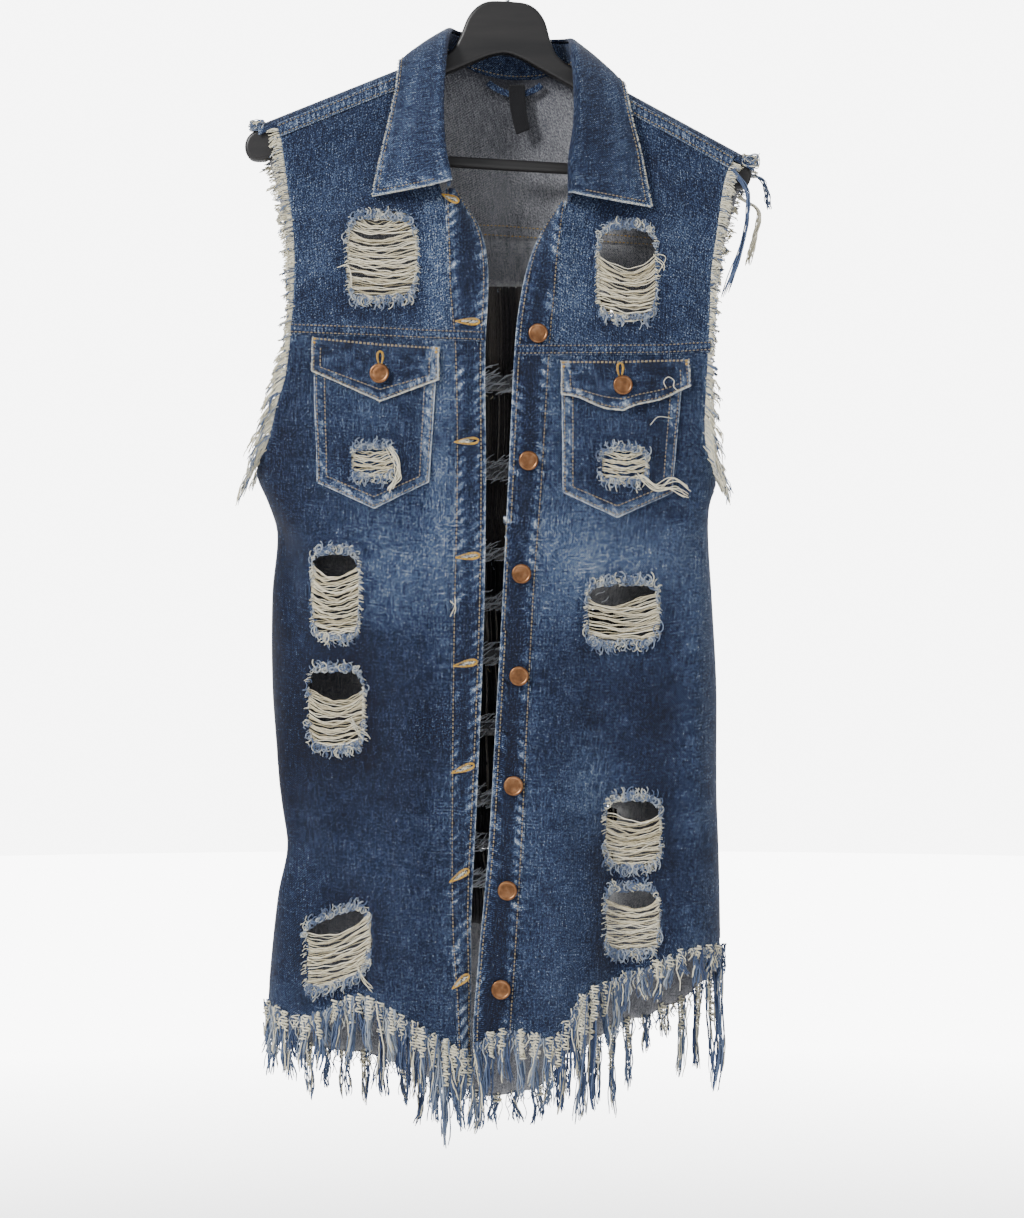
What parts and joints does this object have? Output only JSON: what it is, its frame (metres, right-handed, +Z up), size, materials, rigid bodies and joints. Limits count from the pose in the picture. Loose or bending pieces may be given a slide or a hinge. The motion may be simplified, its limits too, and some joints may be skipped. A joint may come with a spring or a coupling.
{
  "type": "long sleeveless denim vest with torn, frayed edges, hung open on a flat wooden hanger",
  "caption": "Long sleeveless denim vest with collar, chest pockets, torn windows, slashed back and long frayed hem, hanging open on a flat black wooden hanger.",
  "frame": {"origin": "inside crown of the hanger's hook, where the rail bears", "axes": "+Z up, -Y out of the front of the vest, +X to a viewer's right as they face the front"},
  "size_m": [0.4663, 0.1207, 1.0727],
  "materials": {
    "denim": "washed mid-blue indigo twill, matte",
    "yarn": "loose cotton yarn, matte",
    "ribbon": "black woven ribbon",
    "button": "aged copper, satin",
    "wood": "black satin lacquer",
    "wire": "plated steel wire"
  },
  "bodies": {
    "root": {"hanger_arms": "wood", "hanger_bar": "wood", "hanger_hook": "wire", "collar_leaf": "denim", "collar_stand": "denim", "neck_loop": "denim", "neck_ribbon": "ribbon", "yoke_front_left": "denim", "yoke_front_right": "denim", "yoke_back": "denim", "front_left": "denim", "front_right": "denim", "back": "denim", "placket_upper_left": "denim", "placket_lower_left": "denim", "placket_upper_right": "denim", "placket_lower_right": "denim", "yoke_seam_left": "denim", "yoke_seam_right": "denim", "shoulder_seam_left": "denim", "shoulder_seam_right": "denim", "pocket_left": "denim", "pocket_right": "denim", "flap_left": "denim", "flap_right": "denim", "rip_left_chest": "yarn", "rip_left_pocket": "yarn", "rip_left_waist": "yarn", "rip_left_hip": "yarn", "rip_left_thigh": "yarn", "rip_right_chest": "yarn", "rip_right_pocket": "yarn", "rip_right_waist": "yarn", "rip_right_hip": "yarn", "rip_right_thigh": "yarn", "button_1": "button", "button_2": "button", "button_3": "button", "button_4": "button", "button_5": "button", "button_6": "button", "button_7": "button", "button_pocket_left": "button", "button_pocket_right": "button", "hem_fringe_left": "yarn", "hem_fringe_right": "yarn", "hem_fringe_back": "yarn", "armhole_fringe_front_left": "yarn", "armhole_fringe_front_right": "yarn", "armhole_fringe_back_left": "yarn", "armhole_fringe_back_right": "yarn"}
  },
  "joints": []
}
